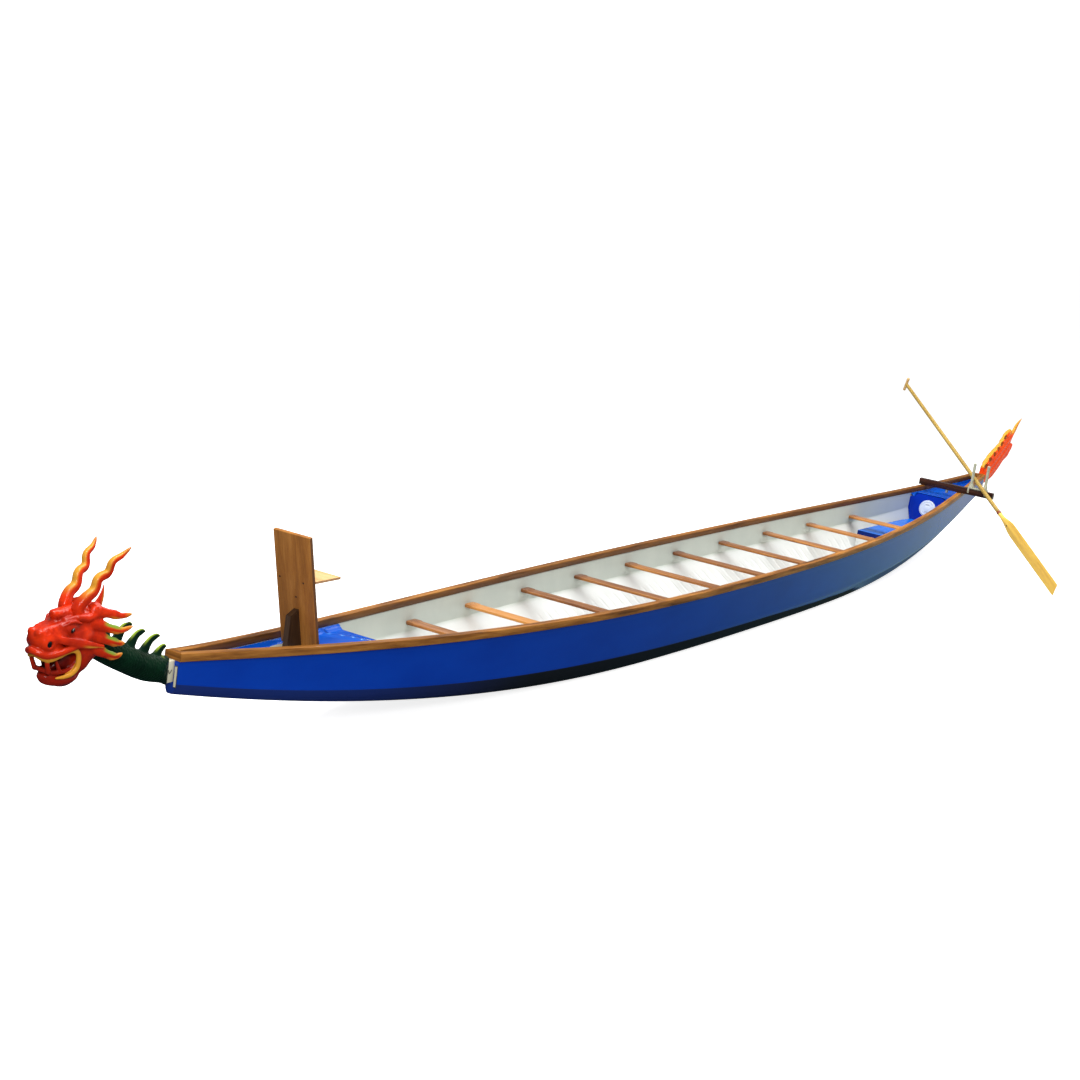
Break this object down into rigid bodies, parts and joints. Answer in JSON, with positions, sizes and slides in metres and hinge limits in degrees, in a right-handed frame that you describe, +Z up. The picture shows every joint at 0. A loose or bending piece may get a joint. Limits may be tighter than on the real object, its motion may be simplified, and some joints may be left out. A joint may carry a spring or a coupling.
{
  "type": "dragon boat",
  "caption": "Long open paddling canoe with a carved dragon head on a finned neck, a tail, bench seats, a raised drummer's seat and a steering oar in its lock.",
  "frame": {"origin": "amidships on the centreline, on the flat of the bottom where the boat stands on a floor", "axes": "+X towards the bow, +Y to port, +Z up"},
  "size_m": [14.6372, 2.657, 1.5002],
  "materials": {
    "hull_blue": "glossy royal blue gelcoat",
    "liner_white": "satin grey-white moulded liner",
    "rail_wood": "varnished red-brown hardwood",
    "bench_wood": "varnished red-brown hardwood",
    "deck_blue": "glossy bright blue gelcoat",
    "hatch_white": "white moulded plastic",
    "seat_ply": "varnished brown plywood",
    "seat_panel_ply": "pale varnished plywood",
    "dark_wood": "dark varnished hardwood",
    "pale_metal": "pale grey-green coated metal",
    "oar_wood": "yellow varnished wood",
    "grip_wood": "pale varnished wood",
    "dragon_red": "glossy orange-red enamel with yellow edges",
    "horn_yellow": "glossy yellow enamel shading to red",
    "dragon_green": "glossy dark green enamel with scale lines",
    "socket_cream": "cream moulded block"
  },
  "bodies": {
    "hull": {"hull_shell_bow": "hull_blue", "hull_shell_fore": "hull_blue", "hull_shell_mid": "hull_blue", "hull_shell_aft": "hull_blue", "hull_shell_stern": "hull_blue", "inner_liner_bow": "liner_white", "inner_liner_fore": "liner_white", "inner_liner_mid": "liner_white", "inner_liner_aft": "liner_white", "inner_liner_stern": "liner_white", "rail_port_fore": "rail_wood", "rail_port_mid": "rail_wood", "rail_port_aft": "rail_wood", "rail_starboard_fore": "rail_wood", "rail_starboard_mid": "rail_wood", "rail_starboard_aft": "rail_wood", "rail_bow": "rail_wood", "rail_stern": "rail_wood", "bench_01": "bench_wood", "bench_02": "bench_wood", "bench_03": "bench_wood", "bench_04": "bench_wood", "bench_05": "bench_wood", "bench_06": "bench_wood", "bench_07": "bench_wood", "bench_08": "bench_wood", "bench_09": "bench_wood", "bench_10": "bench_wood", "foredeck": "deck_blue", "aft_deck": "deck_blue", "fore_bulkhead": "liner_white", "aft_bulkhead": "deck_blue", "steer_floor": "deck_blue", "hatch_ring": "hatch_white", "drum_seat_back": "seat_ply", "drum_seat_panel": "seat_panel_ply", "drum_seat_bracket": "dark_wood", "drum_seat_knee": "dark_wood", "deck_slot_plate": "pale_metal", "steering_arm": "dark_wood", "oar_lock": "pale_metal", "dragon_head": "dragon_red", "dragon_horn_port": "horn_yellow", "dragon_horn_starboard": "horn_yellow", "dragon_neck": "dragon_green", "dragon_tail": "dragon_red", "bow_socket": "socket_cream", "stern_socket": "socket_cream"},
    "steering_oar": {"oar_shaft": "oar_wood", "oar_blade": "oar_wood", "oar_grip": "grip_wood"},
    "hatch": {"hatch_lid": "hatch_white"}
  },
  "joints": [
    {"name": "oar_lift", "type": "hinge", "parent": "hull", "child": "steering_oar", "pos_m": [-5.17, 0.372, 0.7184], "axis": [0.766, -0.6428, 0], "range_deg": [0, 22]},
    {"name": "hatch_lid_turn", "type": "hinge", "parent": "hull", "child": "hatch", "pos_m": [-4.865, 0, 0.42], "axis": [0.9701, 0, 0.2425], "range_deg": [0, 90]}
  ]
}
